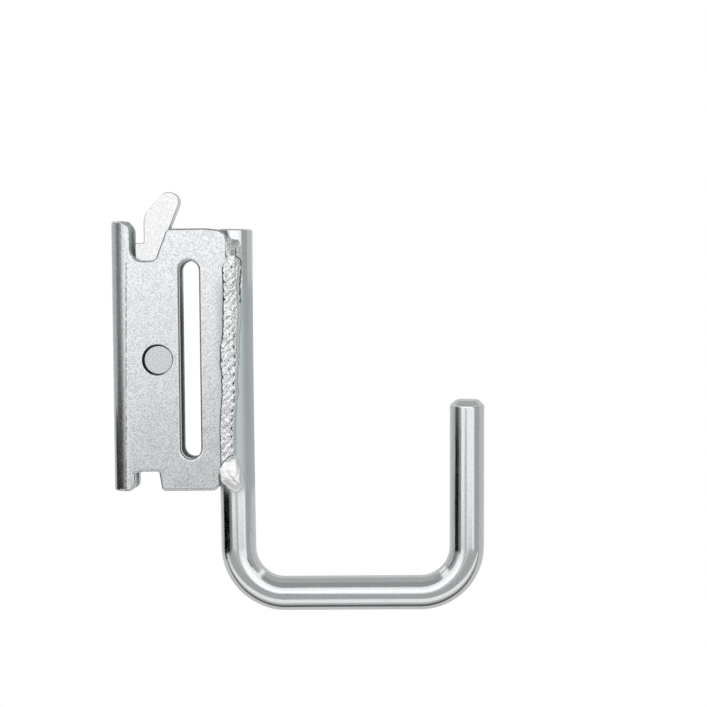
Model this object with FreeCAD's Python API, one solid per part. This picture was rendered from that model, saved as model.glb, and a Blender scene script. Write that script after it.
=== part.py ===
import FreeCAD, Part
import math
import os

# Hook for slotted wall track. A folded sheet fitting goes into one slot of the track, a sprung
# lever between its cheeks locks it there, and a bent round rod is welded to its open side.
#
# Frame, in millimetres: +X points away from the wall, +Z up, Y across the fitting. X = 0 is the
# back face of the track's wall, where the ears' inner edges bear. Z = 0 is the ceiling of the
# lower notches, which sits on the track and carries the load. Y = 0 is the middle of the fitting.

# Fitting: one strip of sheet, folded into a U round the back of the track's wall
sheet = 2.7                    # thickness of the sheet
cheek_gap = 6.8                # clear width between the two cheeks
fold_radius = 1.8              # inside radius of the fold
ear_depth = 5.75               # from the ears' inner edges back to the fold's outer face
ear_rise = 10.15               # the ears' tops, above the upper notches' floor
ear_top_radius = 3.0
ear_foot_radius = 1.9
upper_ear_setback = 0.45       # the upper ears' inner edges stand this much further back
notch_spacing = 53.95          # from the lower notches' ceiling to the upper notches' floor
edge_break = 0.45              # bevel that stands for the punch's rolled edge, outside

# Upper notches, in both cheeks: the track's wall and the lever's step stand in them
upper_floor = 6.3              # width of the floor
upper_slope = 20.6             # degrees that the wall beside the shoulder leans back
upper_rear_radius = 3.0
upper_front_radius = 1.6

# Lower notches, in both cheeks: they hook over the slot's lower edge
lower_ceiling = 6.15           # width of the ceiling
lower_depth = 4.95             # from the ceiling down to the ears' and cheeks' feet
lower_slope = 8.9              # degrees that the wall beside the foot leans out
lower_lead = 1.85              # length of the sloped lead at the back of the ceiling
lower_lead_drop = 0.45
lower_lead_radius = 0.3
lower_front_radius = 0.7

# Cheeks outside the track
shoulder_rise = 8.1            # the shoulders' top edges, above the upper notches' floor
shoulder_radius = 1.3
shoulder_droop = 0.65          # the top edge drops by this much towards the rod
shoulder_droop_run = 4.2
shoulder_end_radius = 1.5
foot_rear_radius = 1.1
foot_end_radius = 1.9
edge_lean = 0.7                # degrees that the cheeks' welded edges lean
root_gap = 0.05                # between the cheeks' inner corners and the rod, at the top

# Long slot through both cheeks
slot_width = 5.2
slot_length = 50.5
slot_offset = 14.43            # its centre line, out from X = 0

# Pivot: a round dimple half pressed through each cheek; inside, its boss carries the lever
pivot_offset = 6.2
boss_diameter = 8.0
boss_height = 1.9
dimple_mouth = 8.1             # diameter at the cheek's outer face
dimple_floor = 6.65
dimple_depth = 1.9
dimple_rim = 0.2               # bevel of the mouth

# Rod: round bar bent twice
rod_diameter = 8.8
rod_offset = 25.7              # axis of the welded arm, out from X = 0
rod_end_height = 61.7          # top of the welded arm, above the lower notches' ceiling
rod_end_chamfer = 0.4
hook_drop = 31.95              # axis of the bottom run, below the lower notches' ceiling
throat = 50.0                  # clear width between the arms, at the bends
bend_radius = 12.0             # of the rod's axis
arm_lean = 0.7                 # degrees that the upright arm leans out
arm_rise = 49.35               # the upright arm's end, above the axis of the bottom run
tip_chamfer = 1.5

# Weld beads: one along each cheek, in the groove between its edge and the rod. Each is a plain
# tapered roll here, without its fine ripples.
bead_top = 60.2                # top of the bead's round head
bead_foot = 0.0                # its foot, under the second blob
bead_reach_top = 4.75          # from the cheek's edge to the toe on the rod
bead_reach_foot = 3.4
bead_crown_top = 1.5           # how far the bead bulges out past the line between its toes
bead_crown_foot = 1.2
bead_undercut = 0.2            # the toe starts this far under the cheek's outer face

# Second weld blob, over the bead's lower end
blob_height = 10.0
blob_width = 5.8
blob_belly = 4.0               # height of its full-width middle
blob_neck_height = 7.4         # where it has drawn in to the neck's width, above and below
blob_neck_width = 4.5
blob_nose_width = 1.2
blob_centre_drop = 1.2         # below the lower notches' ceiling
blob_outset = 0.65             # its middle, in from the rod's axis
blob_crown = 0.75              # how far it stands out past the cheek's outer face

# Lever: a flat stamped plate between the cheeks
lever_thickness = 5.2
pivot_play = 0.08              # radial clearance of its hole on the bosses
lever_edge = 0.3               # its edge in the notches, out from X = 0
step_height = 4.55             # its step, above the upper notches' floor
step_length = 2.35
step_corner_radius = 0.3
step_root_radius = 0.55
tongue_height = 17.55          # top of the tongue, above the upper notches' floor
tongue_reach = 9.15            # middle of the tongue's round end, out from X = 0
tongue_radius = 2.6
tongue_rear_slope = 47.6       # degrees above level of the tongue's rear edge
tongue_front_slope = 68.4      # degrees above level of its front edge
tongue_root_radius = 5.0
waist_rise = 3.1               # where the front edge turns down, above the upper notches' floor
waist_radius = 6.0
hub_wall = 0.9                 # metal round the pivot hole
belly_reach = 9.4              # front edge of the plate beside the hub, out from X = 0
belly_rise = 10.0              # where the belly starts, above the pivot
belly_radius = 4.0
heel_clearance = 0.1           # from the heel's edges to the fold's round corners, at rest
heel_rise = 17.0               # the heel's middle, above the pivot
heel_length = 4.4
heel_radius = 1.0
heel_ramp = 2.8                # height of the ramps from the heel to the plate's rear edge
tail_drop = 20.5               # the tail's end, below the pivot
tail_rear = 1.5                # the tail's rear edge, out from X = 0
tail_front = 8.4
tail_radius = 1.5

# Spring: pushes the lever's tail away from the fold
spring_drop = 16.5             # its axis, below the pivot
spring_diameter = 4.6          # over the wire
spring_wire = 0.5
spring_turns = 3.5
spring_flats = 6               # sides of the wire's section, which stands for a round one
spring_seat = 1.0              # depth of its pocket in the tail
spring_seat_play = 0.25        # the pocket is this much wider than the spring, each side
spring_end_play = 0.02

# Worked out from the sizes above
half_gap = cheek_gap / 2
half_width = half_gap + sheet
fold_outer_radius = fold_radius + sheet
fold_inner_x = sheet - ear_depth
upper_floor_z = notch_spacing
ear_top_z = upper_floor_z + ear_rise
shoulder_z = upper_floor_z + shoulder_rise
foot_z = -lower_depth
mid_z = (shoulder_z + foot_z) / 2
rod_radius = rod_diameter / 2
arm_offset = rod_offset + throat + rod_diameter
boss_radius = boss_diameter / 2
edge_top_x = rod_offset - math.sqrt(rod_radius ** 2 - half_gap ** 2) - root_gap
past = 1.0                     # how far a cutting tool runs past what it cuts
no_length = 1e-4               # a length under this counts as none


def vec(x, z, y=0.0):
    return FreeCAD.Vector(x, y, z)


def heading(degrees):
    """Unit vector in the XZ plane, its angle counted up from +X."""
    return vec(math.cos(math.radians(degrees)), math.sin(math.radians(degrees)))


def outline(corners):
    """Closed wire in the XZ plane through corners (x, z, radius), each rounded by its radius."""
    count = len(corners)
    starts = []
    ends = []
    middles = []
    for i in range(count):
        x, z, radius = corners[i]
        here = vec(x, z)
        back = (vec(*corners[i - 1][:2]) - here).normalize()
        ahead = (vec(*corners[(i + 1) % count][:2]) - here).normalize()
        half_angle = back.getAngle(ahead) / 2
        cut_back = radius / math.tan(half_angle)
        inward = (back + ahead).normalize()
        starts.append(here + back * cut_back)
        ends.append(here + ahead * cut_back)
        middles.append(here + inward * (radius / math.sin(half_angle) - radius))
    edges = []
    for i in range(count):
        if corners[i][2] > 0:
            edges.append(Part.Arc(starts[i], middles[i], ends[i]).toShape())
        following = starts[(i + 1) % count]
        if (following - ends[i]).Length > no_length:
            edges.append(Part.makeLine(ends[i], following))
    return Part.Wire(edges)


def plate(wire, thickness):
    """Solid of an XZ outline, centred on Y = 0."""
    face = Part.Face(wire)
    face.translate(FreeCAD.Vector(0, -thickness / 2, 0))
    return face.extrude(FreeCAD.Vector(0, thickness, 0))


def edge_x(z):
    """X of the cheeks' welded edges at height z."""
    return edge_top_x - (shoulder_z - z) * math.tan(math.radians(edge_lean))


def fold_section():
    """The U of the sheet, seen from above."""
    far = edge_top_x + past
    back = -ear_depth
    turn = back + fold_outer_radius
    diagonal = math.sqrt(0.5)

    def quarter(radius, side):
        centre = FreeCAD.Vector(turn, side * (half_width - fold_outer_radius), 0)
        beside = centre + FreeCAD.Vector(0, side * radius, 0)
        middle = centre + FreeCAD.Vector(-radius * diagonal, side * radius * diagonal, 0)
        behind = centre + FreeCAD.Vector(-radius, 0, 0)
        return beside, middle, behind

    edges = []
    for radius in (fold_outer_radius, fold_radius):
        reach = half_width - fold_outer_radius + radius
        front = quarter(radius, -1)
        rear = quarter(radius, 1)
        edges.append(Part.makeLine(FreeCAD.Vector(far, -reach, 0), front[0]))
        edges.append(Part.Arc(*front).toShape())
        edges.append(Part.makeLine(front[2], rear[2]))
        edges.append(Part.Arc(*rear).toShape())
        edges.append(Part.makeLine(rear[0], FreeCAD.Vector(far, reach, 0)))
    for side in (-1, 1):
        edges.append(
            Part.makeLine(
                FreeCAD.Vector(far, side * half_width, 0), FreeCAD.Vector(far, side * half_gap, 0)
            )
        )
    return Part.Wire(Part.__sortEdges__(edges))


def fitting_outline():
    """Side outline of the folded fitting, with its ears, notches, shoulder and foot."""
    behind = -ear_depth - past
    upper_rear = -upper_ear_setback
    upper_front = upper_rear + upper_floor
    shoulder_x = upper_front + shoulder_rise * math.tan(math.radians(upper_slope))
    foot_x = lower_ceiling + lower_depth * math.tan(math.radians(lower_slope))
    droop_z = shoulder_z - shoulder_droop
    return outline(
        [
            (behind, foot_z, 0),
            (behind, ear_top_z, 0),
            (upper_rear, ear_top_z, ear_top_radius),
            (upper_rear, upper_floor_z, upper_rear_radius),
            (upper_front, upper_floor_z, upper_front_radius),
            (shoulder_x, shoulder_z, shoulder_radius),
            (edge_x(droop_z) - shoulder_droop_run, shoulder_z, 0),
            (edge_x(droop_z), droop_z, shoulder_end_radius),
            (edge_x(foot_z), foot_z, foot_end_radius),
            (foot_x, foot_z, foot_rear_radius),
            (lower_ceiling, 0, lower_front_radius),
            (lower_lead, 0, 0),
            (0, -lower_lead_drop, lower_lead_radius),
            (0, foot_z, ear_foot_radius),
        ]
    )


def round_slot(width, length):
    """Cutter for the long slot, through both cheeks."""
    radius = width / 2
    straight = length / 2 - radius
    left = slot_offset - radius
    right = slot_offset + radius
    low = mid_z - straight
    high = mid_z + straight
    edges = [
        Part.makeLine(vec(left, low), vec(left, high)),
        Part.Arc(vec(left, high), vec(slot_offset, high + radius), vec(right, high)).toShape(),
        Part.makeLine(vec(right, high), vec(right, low)),
        Part.Arc(vec(right, low), vec(slot_offset, low - radius), vec(left, low)).toShape(),
    ]
    return plate(Part.Wire(edges), 2 * (half_width + past))


def on_outer_face(edge):
    """True for an edge that lies on the outside of the folded sheet, at a sharp outline."""
    for point in edge.discretize(5):
        y = abs(point.y)
        turn = -ear_depth + fold_outer_radius
        if point.x >= turn - no_length:
            off = half_width - y
        else:
            flat = half_width - fold_outer_radius
            off = fold_outer_radius - math.hypot(point.x - turn, max(0.0, y - flat))
        if abs(off) > no_length:
            return False
    return True


def is_sharp(shape, edge):
    """True where the two faces at an edge meet at an angle."""
    faces = shape.ancestorsOfType(edge, Part.Face)
    if len(faces) != 2:
        return False
    point = edge.valueAt((edge.FirstParameter + edge.LastParameter) / 2)
    normals = []
    for face in faces:
        u, v = face.Surface.parameter(point)
        normals.append(face.normalAt(u, v))
    return normals[0].getAngle(normals[1]) > math.radians(5)


def is_circle_at(edge, centre, radius):
    """True for an edge that lies at this distance from the centre all the way."""
    return all(abs((p - centre).Length - radius) < no_length for p in edge.discretize(5))


def fitting_body():
    height = ear_top_z - foot_z
    blank = Part.Face(fold_section())
    blank.translate(FreeCAD.Vector(0, 0, foot_z - past))
    blank = blank.extrude(FreeCAD.Vector(0, 0, height + 2 * past))
    body = blank.common(plate(fitting_outline(), 2 * (half_width + past)))
    body = body.cut(round_slot(slot_width, slot_length)).removeSplitter()
    sharp = [e for e in body.Edges if on_outer_face(e) and is_sharp(body, e)]
    body = body.makeChamfer(edge_break, sharp)
    for side in (-1, 1):
        centre = vec(pivot_offset, mid_z)
        inward = FreeCAD.Vector(0, -side, 0)
        mouth = centre + FreeCAD.Vector(0, side * half_width, 0)
        taper = (dimple_mouth - dimple_floor) / 2 / dimple_depth
        dimple = Part.makeCone(
            dimple_mouth / 2 + taper * past,
            dimple_floor / 2,
            dimple_depth + past,
            mouth - inward * past,
            inward,
        )
        boss = Part.makeCylinder(
            boss_radius,
            boss_height + sheet / 2,
            centre + FreeCAD.Vector(0, side * (half_gap + sheet / 2), 0),
            inward,
        )
        body = body.fuse(boss).cut(dimple)
        rim = [e for e in body.Edges if is_circle_at(e, mouth, dimple_mouth / 2)]
        body = body.makeChamfer(dimple_rim, rim)
    return body.removeSplitter().Solids[0]


def hook_rod():
    lean = math.radians(arm_lean)
    run_z = -hook_drop
    turn = math.radians(90 - arm_lean)
    up = heading(90 - arm_lean)
    first = vec(rod_offset + bend_radius, run_z + bend_radius)
    tangent = bend_radius * math.tan(turn / 2)
    # The upright arm's axis passes through arm_offset at the level of the first bend's centre.
    corner = vec(arm_offset - bend_radius * math.tan(lean), run_z)
    run_end = corner - FreeCAD.Vector(tangent, 0, 0)
    second = run_end + FreeCAD.Vector(0, 0, bend_radius)
    arm_start = corner + up * tangent
    arm_end = corner + up * (arm_rise / math.cos(lean))
    start = vec(rod_offset, rod_end_height)
    first_middle = first + heading(225) * bend_radius
    second_middle = second + heading(270 + math.degrees(turn) / 2) * bend_radius
    path = Part.Wire(
        [
            Part.makeLine(start, vec(rod_offset, first.z)),
            Part.Arc(vec(rod_offset, first.z), first_middle, vec(first.x, run_z)).toShape(),
            Part.makeLine(vec(first.x, run_z), run_end),
            Part.Arc(run_end, second_middle, arm_start).toShape(),
            Part.makeLine(arm_start, arm_end),
        ]
    )
    circle = Part.Wire([Part.makeCircle(rod_radius, start, FreeCAD.Vector(0, 0, 1))])
    rod = path.makePipeShell([circle], True, False)
    for centre, size in ((start, rod_end_chamfer), (arm_end, tip_chamfer)):
        rim = [e for e in rod.Edges if is_circle_at(e, centre, rod_radius)]
        rod = rod.makeChamfer(size, rim)
    return rod.Solids[0]


def bead_circle(z, reach, crown):
    """Centre and radius of the bead's round face at height z, through its two toes."""
    cheek_toe = FreeCAD.Vector(edge_x(z), bead_undercut - half_width, z)
    toe_x = cheek_toe.x + reach
    toe_y = -math.sqrt(rod_radius ** 2 - (toe_x - rod_offset) ** 2)
    rod_toe = FreeCAD.Vector(toe_x, toe_y, z)
    chord = rod_toe - cheek_toe
    radius = chord.Length ** 2 / (8 * crown) + crown / 2
    outward = FreeCAD.Vector(chord.y, -chord.x, 0).normalize()
    centre = (cheek_toe + rod_toe) / 2 + outward * (crown - radius)
    return centre, radius


def weld_bead():
    """Bead on the front cheek, before it is cut back to the cheek and the rod."""
    low, low_radius = bead_circle(bead_foot, bead_reach_foot, bead_crown_foot)
    high, high_radius = bead_circle(bead_top, bead_reach_top, bead_crown_top)
    axis = high - low
    taper = (high_radius - low_radius) / axis.Length
    axis.normalize()
    # The round head is a ball with the roll's own radius at the level of the ball's centre.
    head_radius = high_radius / (1 + taper)
    head = high - axis * head_radius
    bead = Part.makeCone(low_radius, head_radius, (head - low).Length, low, axis)
    return bead.fuse(Part.makeSphere(head_radius, head))


def weld_blob():
    """Second blob on the front cheek, an upright roll that draws in towards both ends."""
    levels = (
        (blob_height, 0),
        (blob_height, blob_nose_width),
        (blob_neck_height, blob_neck_width),
        (blob_belly, blob_width),
    )
    upper = [vec(width / 2, height / 2) for height, width in levels]
    lower = [vec(width / 2, -height / 2) for height, width in reversed(levels)]
    profile = Part.makePolygon(upper + lower + upper[:1])
    blob = Part.Face(profile).revolve(vec(0, 0), vec(0, 1), 360)
    blob.translate(
        FreeCAD.Vector(
            rod_offset - blob_outset, blob_width / 2 - half_width - blob_crown, -blob_centre_drop
        )
    )
    return blob


def outside_channel():
    """The space in front of the front cheek's inner face, where weld metal can lie."""
    return Part.makeBox(
        2 * rod_offset,
        2 * half_width,
        ear_top_z + hook_drop,
        FreeCAD.Vector(0, -half_gap - 2 * half_width, -hook_drop),
    )


def largest(shape):
    return max(shape.Solids, key=lambda solid: solid.Volume)


def weld_metal(body, rod, rear):
    """Bead and blob of one side, cut back so that they meet the cheek, the rod and each other."""
    blob = weld_blob().common(outside_channel())
    bead = weld_bead().common(outside_channel()).cut(blob)
    pieces = []
    for shape in (bead, blob):
        if rear:
            shape = shape.mirror(FreeCAD.Vector(0, 0, 0), FreeCAD.Vector(0, 1, 0))
        pieces.append(largest(shape.cut(body).cut(rod)))
    return pieces


def fold_inner_at(y):
    """X of the fold's inner face at this distance from the middle plane."""
    past_flat = max(0.0, y - (half_gap - fold_radius))
    return fold_inner_x + fold_radius - math.sqrt(fold_radius ** 2 - past_flat ** 2)


def lever_outline():
    """Side outline of the stamped lever, without the hub, the pivot hole and the spring's seat."""
    step_z = upper_floor_z + step_height
    neck_x = lever_edge + step_length
    end_centre = vec(tongue_reach, upper_floor_z + tongue_height - tongue_radius)
    rear_normal = 90 + tongue_rear_slope
    front_normal = tongue_front_slope - 90
    spread = (rear_normal - front_normal) / 4
    far = tongue_radius / math.cos(math.radians(spread))
    rear_tip = end_centre + heading(rear_normal - spread) * far
    front_tip = end_centre + heading(front_normal + spread) * far
    shoulder_rise_z = (rear_tip.x - neck_x) * math.tan(math.radians(tongue_rear_slope))
    waist_z = upper_floor_z + waist_rise
    front_run = (front_tip.z - waist_z) / math.tan(math.radians(tongue_front_slope))
    heel_x = fold_inner_at(lever_thickness / 2) + heel_clearance
    heel_low = mid_z + heel_rise - heel_length / 2
    heel_high = mid_z + heel_rise + heel_length / 2
    tail_z = mid_z - tail_drop
    return outline(
        [
            (lever_edge, step_z, step_corner_radius),
            (neck_x, step_z, step_root_radius),
            (neck_x, rear_tip.z - shoulder_rise_z, tongue_root_radius),
            (rear_tip.x, rear_tip.z, tongue_radius),
            (front_tip.x, front_tip.z, tongue_radius),
            (front_tip.x - front_run, waist_z, waist_radius),
            (belly_reach, mid_z + belly_rise, belly_radius),
            (belly_reach, mid_z, 0),
            (tail_front, tail_z, tail_radius),
            (tail_rear, tail_z, tail_radius),
            (tail_rear, heel_low - heel_ramp, heel_radius),
            (heel_x, heel_low, heel_radius),
            (heel_x, heel_high, heel_radius),
            (lever_edge, heel_high + heel_ramp, heel_radius),
        ]
    )


def latch_lever():
    hole_radius = boss_radius + pivot_play
    across = FreeCAD.Vector(0, 1, 0)
    pivot = FreeCAD.Vector(pivot_offset, -lever_thickness / 2, mid_z)
    hub = Part.makeCylinder(hole_radius + hub_wall, lever_thickness, pivot, across)
    lever = plate(lever_outline(), lever_thickness).fuse(hub)
    lever = lever.cut(
        Part.makeCylinder(
            hole_radius, lever_thickness + 2 * past, pivot - across * past, across
        )
    )
    seat_height = spring_diameter + 2 * spring_seat_play
    seat = Part.makeBox(
        spring_seat + past,
        lever_thickness + 2 * past,
        seat_height,
        FreeCAD.Vector(
            tail_rear - past,
            -lever_thickness / 2 - past,
            mid_z - spring_drop - seat_height / 2,
        ),
    )
    return lever.cut(seat).removeSplitter().Solids[0]


def latch_spring():
    """Coil spring along X, from the fold to its pocket in the lever's tail."""
    radius = (spring_diameter - spring_wire) / 2
    start = fold_inner_x + spring_end_play + spring_wire / 2
    end = tail_rear + spring_seat - spring_end_play - spring_wire / 2
    coil = Part.makeHelix((end - start) / spring_turns, end - start, radius)
    coil.Placement = FreeCAD.Placement(
        FreeCAD.Vector(start, 0, mid_z - spring_drop), FreeCAD.Rotation(vec(0, 1), vec(1, 0))
    )
    lead = coil.Edges[0]
    first = lead.valueAt(lead.FirstParameter)
    along = lead.tangentAt(lead.FirstParameter)
    sideways = along.cross(vec(1, 0)).normalize()
    over = along.cross(sideways)
    corners = []
    for i in range(spring_flats + 1):
        angle = 2 * math.pi * i / spring_flats
        corners.append(
            first + (sideways * math.cos(angle) + over * math.sin(angle)) * (spring_wire / 2)
        )
    section = Part.makePolygon(corners)
    return Part.Wire(coil.Edges).makePipeShell([section], True, True)


def build():
    body = fitting_body()
    rod = hook_rod()
    front_bead, front_blob = weld_metal(body, rod, False)
    rear_bead, rear_blob = weld_metal(body, rod, True)
    return {
        "fitting_body": body,
        "hook_rod": rod,
        "weld_bead_front": front_bead,
        "weld_bead_rear": rear_bead,
        "weld_blob_front": front_blob,
        "weld_blob_rear": rear_blob,
        "latch_lever": latch_lever(),
        "latch_spring": latch_spring(),
    }


os.makedirs("parts", exist_ok=True)
for name, shape in build().items():
    shape.exportStep("parts/" + name + ".step")
    print(f"{name}: solids {len(shape.Solids)}, valid {shape.isValid()}, {shape.Volume:.1f} mm3")
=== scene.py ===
import math

import bmesh
import bpy
from bpy.props import FloatProperty, FloatVectorProperty, PointerProperty, StringProperty
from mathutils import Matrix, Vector, noise


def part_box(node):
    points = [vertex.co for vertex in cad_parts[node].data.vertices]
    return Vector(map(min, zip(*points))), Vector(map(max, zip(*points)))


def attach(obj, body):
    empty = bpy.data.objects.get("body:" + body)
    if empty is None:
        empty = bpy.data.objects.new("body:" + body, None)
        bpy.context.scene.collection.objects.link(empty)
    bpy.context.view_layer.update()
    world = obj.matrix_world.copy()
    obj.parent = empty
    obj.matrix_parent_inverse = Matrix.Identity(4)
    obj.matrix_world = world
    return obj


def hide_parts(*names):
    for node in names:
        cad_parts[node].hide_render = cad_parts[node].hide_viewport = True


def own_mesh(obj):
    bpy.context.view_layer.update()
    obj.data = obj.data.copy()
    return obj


bl_info = {
    "name": "Utility hook for slotted track",
    "version": (1, 0, 0),
    "blender": (4, 5, 0),
    "location": "View3D > Sidebar > Utility Hook",
    "description": "Dresses a welded utility hook and sets up its studio",
    "category": "Object",
}

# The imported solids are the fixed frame. +X points away from the wall, +Z up, Y across the fitting.
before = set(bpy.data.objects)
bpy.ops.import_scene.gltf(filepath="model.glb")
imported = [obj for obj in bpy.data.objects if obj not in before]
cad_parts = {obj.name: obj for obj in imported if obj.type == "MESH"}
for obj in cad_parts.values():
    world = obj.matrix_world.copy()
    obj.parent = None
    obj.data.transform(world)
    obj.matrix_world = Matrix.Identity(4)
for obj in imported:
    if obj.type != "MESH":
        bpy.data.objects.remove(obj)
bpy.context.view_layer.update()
fitting_low, fitting_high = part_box("fitting_body")
lever_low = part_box("latch_lever")[0]

MM = 0.001
# Points closer than this, in metres, are taken as one
NEAR = 1e-6


def size(label, text, millimetres):
    """Property that holds a length, given in millimetres and kept in metres."""
    return FloatProperty(
        name=label, description=text, default=millimetres * MM, unit="LENGTH", subtype="DISTANCE"
    )


def slant(label, text, degrees):
    """Property that holds an angle."""
    return FloatProperty(
        name=label, description=text, default=math.radians(degrees), subtype="ANGLE"
    )


def colour(label, text, code):
    """Property that holds a colour as an sRGB hex value."""
    return StringProperty(name=label, description=text, default=code)


# ---- Sizes and colours that a user would change


class HookFittingSizes(bpy.types.PropertyGroup):
    sheet: size("Sheet", "Thickness of the folded sheet", 2.7)
    outer_radius: size("Fold radius", "Outside radius of the fold", 4.5)
    rim: size("Rim", "Rounding that the punch leaves along the outer edges", 0.6)
    burr_rim: size("Inner rim", "Rounding of the edges between the cheeks", 0.12)
    ear_setback: size("Ear setback", "The upper ears stand this much further back", 0.45)
    ear_top_radius: size("Ear top", "Radius of the upper ears' corners", 3.0)
    ear_foot_radius: size("Ear foot", "Radius of the lower ears' corners", 1.9)
    upper_floor_z: size("Upper notch", "Height of the upper notches' floor", 53.95)
    upper_floor: size("Upper floor", "Width of the upper notches' floor", 6.3)
    upper_slope: slant("Upper slope", "Lean of the upper notches' front wall", 20.6)
    upper_rear_radius: size("Upper rear corner", "Radius at the back of the floor", 3.0)
    upper_front_radius: size("Upper front corner", "Radius at the front of the floor", 1.6)
    shoulder_rise: size("Shoulder", "Height of the shoulder above the upper floor", 8.1)
    shoulder_radius: size("Shoulder corner", "Radius of the shoulder's rear corner", 1.3)
    shoulder_droop: size("Droop", "Drop of the top edge towards the rod", 0.65)
    shoulder_droop_run: size("Droop run", "Length over which the top edge drops", 5.2)
    shoulder_end_radius: size("Shoulder end", "Radius of the corner beside the rod", 3.0)
    edge_top_x: size("Edge top", "Top of the cheeks' edges, under the bead's head", 24.2)
    edge_mid_x: size("Edge middle", "The edges under the bead, at the slot's middle", 23.75)
    edge_low_x: size("Edge low", "The edges under the second blob", 22.75)
    edge_foot_x: size("Edge foot", "The edges' bare end below the weld", 21.6)
    foot_end_radius: size("Foot end", "Radius of the foot's corner beside the rod", 1.9)
    foot_rear_radius: size("Foot rear", "Radius of the foot's corner beside the notch", 1.1)
    lower_ceiling: size("Lower ceiling", "Width of the lower notches' ceiling", 6.15)
    lower_slope: slant("Lower slope", "Lean of the lower notches' front wall", 8.9)
    lower_lead: size("Lower lead", "Length of the sloped lead", 1.85)
    lower_lead_drop: size("Lead drop", "Drop of the sloped lead", 0.45)
    slot_x: size("Slot place", "Centre line of the long slot", 14.43)
    slot_width: size("Slot width", "Width of the long slot", 5.2)
    slot_length: size("Slot length", "Length of the long slot", 50.5)
    slot_middle_z: size("Slot middle", "Height of the slot's middle and of the pivot", 28.55)
    rear_slot_shift: size("Rear slot shift", "The rear slot lies this much further back", 0.05)
    pivot_x: size("Pivot", "Place of the pivot's dimples", 6.2)
    crease_x: size("Crease", "Place of the dotted line that the folding leaves", -2.28)
    crease_lean: slant("Crease lean", "Lean of that line away from the fold", 0.83)
    mouth_radius: size("Dimple mouth", "Radius of the dimples at the face", 4.05)
    wall_radius: size("Dimple wall", "Radius of the dimples' wall at its mouth", 3.88)
    wall_shift: size("Dimple wall shift", "The wall's mouth lies this much towards the fold", 0.17)
    floor_radius: size("Dimple floor", "Radius of the dimples' flat floor", 3.66)
    dimple_depth: size("Dimple depth", "Depth of the dimples", 1.9)
    boss_radius: size("Boss", "Radius of the bosses between the cheeks", 4.0)
    boss_height: size("Boss height", "Height of the bosses", 1.9)


class HookRodSizes(bpy.types.PropertyGroup):
    radius: size("Radius", "Radius of the round bar", 4.4)
    arm_x: size("Welded arm", "Axis of the welded arm", 25.7)
    top_z: size("Top", "Top of the welded arm", 61.7)
    run_z: size("Bottom run", "Height of the bottom run's axis", -31.95)
    free_arm_x: size("Free arm", "Axis of the free arm at the bend", 84.5)
    bend_radius: size("Bend radius", "Radius of the bends' axis", 12.0)
    lean: slant("Lean", "Lean of the free arm", 0.7)
    arm_rise: size("Free arm rise", "End of the free arm above the run's axis", 49.35)
    top_chamfer: size("Top chamfer", "Chamfer at the welded end", 0.4)
    tip_chamfer: size("Tip chamfer", "Chamfer at the free end", 1.5)
    bow: size("Bow", "How far the weld draws the arm's top over", 0.2)
    bow_z: size("Bow height", "Height where the bowed arm is nearest to the wall", 18.0)
    oval: size("Oval", "How far the welded arm bulges at each side", 0.07)


class HookWeldSizes(bpy.types.PropertyGroup):
    foot_z: size("Foot", "Bottom of the long bead", -1.0)
    head_z: size("Head", "Top of the long bead", 60.0)
    ripple_pitch: size("Ripple pitch", "Distance between ripples", 2.3)
    ripple_depth: size("Ripple depth", "Depth of the ripples", 0.12)
    crease_depth: size("Crease depth", "Depth of the pits between the two strands", 0.4)
    blob_x: size("Blob place", "Middle of the second blob", 25.0)
    blob_z: size("Blob height", "Height of the second blob's middle", -0.6)


class HookLeverSizes(bpy.types.PropertyGroup):
    thickness: size("Thickness", "Thickness of the stamped lever", 5.2)
    rim: size("Rim", "Rounding of the lever's edges", 0.26)
    rear_x: size("Rear edge", "Rear edge in the upper notches", 0.3)
    step_rise: size("Step", "Height of the step above the upper floor", 4.55)
    step_length: size("Step length", "Length of the step", 2.35)
    tongue_rise: size("Tongue", "Top of the tongue above the upper floor", 17.55)
    tongue_x: size("Tongue reach", "Middle of the tongue's round end", 9.15)
    tongue_radius: size("Tongue radius", "Radius of the tongue's round end", 2.6)
    rear_slope: slant("Rear slope", "Slope of the tongue's rear edge", 47.6)
    front_slope: slant("Front slope", "Slope of the tongue's front edge", 68.4)
    tail_rear: size("Tail rear", "Rear edge of the tail", 1.5)
    spring_drop: size("Spring drop", "Spring's axis below the pivot", 16.5)
    hole_gap: size("Hole gap", "Play between the lever's hole and the bosses", 0.08)


class HookSpringSizes(bpy.types.PropertyGroup):
    coil_radius: size("Coil radius", "Radius of the coils, at the wire's middle", 2.05)
    wire_radius: size("Wire radius", "Radius of the wire", 0.25)
    turns: FloatProperty(name="Turns", description="Turns of the spring", default=4.5)


class HookStageSettings(bpy.types.PropertyGroup):
    camera_place: FloatVectorProperty(
        name="Camera", description="Place of the camera", subtype="TRANSLATION", unit="LENGTH",
        default=(0.08686, -0.66, 0.04928),
    )
    yaw: slant("Yaw", "Camera's turn towards the wall", 2.68)
    pitch: slant("Pitch", "Camera's turn down", 1.71)
    roll: slant("Roll", "Camera's roll", -0.67)
    lens: FloatProperty(name="Lens", description="Focal length in millimetres", default=131.2)
    floor_z: size("Floor", "Height of the floor", -120.0)
    floor_reach: size("Floor size", "Width of the floor", 660.0)
    white_level: FloatProperty(name="White", description="White that the eye sees", default=1.0)
    room_level: FloatProperty(name="Room", description="Light that the room gives", default=0.95)


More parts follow.
